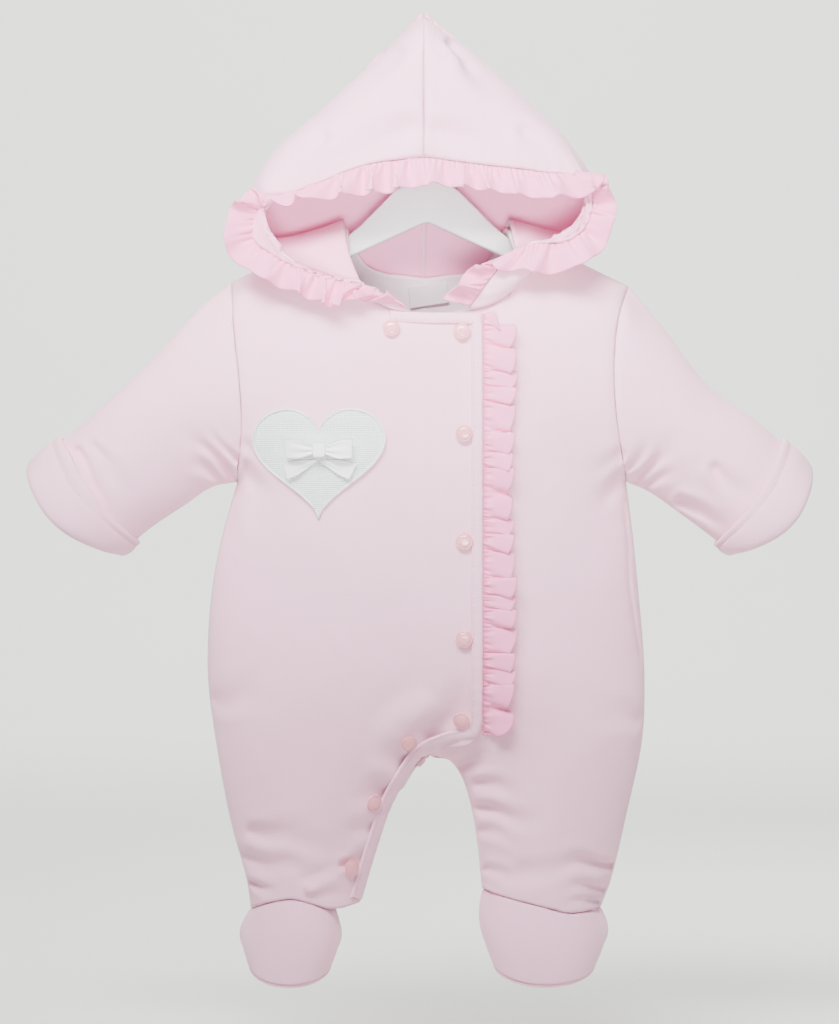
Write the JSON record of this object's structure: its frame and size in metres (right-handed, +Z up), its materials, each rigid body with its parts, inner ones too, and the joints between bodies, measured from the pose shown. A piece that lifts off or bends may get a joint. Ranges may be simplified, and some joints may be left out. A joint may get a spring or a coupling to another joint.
{
  "type": "baby snowsuit on a hanger",
  "caption": "Hooded padded baby snowsuit with frills, snap front, turned-back cuffs and closed feet, hung on a child's coat hanger.",
  "frame": {"origin": "top of the hanger's hook, where a peg or rail would hold it", "axes": "+Z up, front of the suit towards -Y, wearer's right towards -X"},
  "size_m": [0.5653, 0.1089, 0.6935],
  "materials": {
    "padded_cotton": "soft brushed cotton over wadding",
    "hood_cotton": "soft brushed cotton over wadding",
    "frill_cotton": "thin gathered cotton",
    "binding_cotton": "folded cotton binding",
    "snap_cap": "pearly domed cap",
    "velour": "short white pile",
    "satin_ribbon": "satin",
    "label_cloth": "woven label, blank",
    "hanger_paint": "white satin paint",
    "hook_wire": "bright wire"
  },
  "bodies": {
    "root": {"front_right": "padded_cotton", "front_left": "padded_cotton", "back": "padded_cotton", "sleeve_right": "padded_cotton", "sleeve_left": "padded_cotton", "cuff_right": "padded_cotton", "cuff_left": "padded_cotton", "foot_upper_right": "padded_cotton", "foot_upper_left": "padded_cotton", "sole_right": "padded_cotton", "sole_left": "padded_cotton", "hood_right": "hood_cotton", "hood_left": "hood_cotton", "hood_frill": "frill_cotton", "front_frill": "frill_cotton", "edge_binding": "binding_cotton", "snap_1": "snap_cap", "snap_2": "snap_cap", "snap_3": "snap_cap", "snap_4": "snap_cap", "snap_5": "snap_cap", "snap_6": "snap_cap", "snap_7": "snap_cap", "snap_8": "snap_cap", "snap_9": "snap_cap", "heart": "velour", "bow_loop_right": "satin_ribbon", "bow_loop_left": "satin_ribbon", "bow_tail_right": "satin_ribbon", "bow_tail_left": "satin_ribbon", "bow_knot": "satin_ribbon", "neck_label": "label_cloth", "hanger": "hanger_paint", "hook": "hook_wire"}
  },
  "joints": []
}
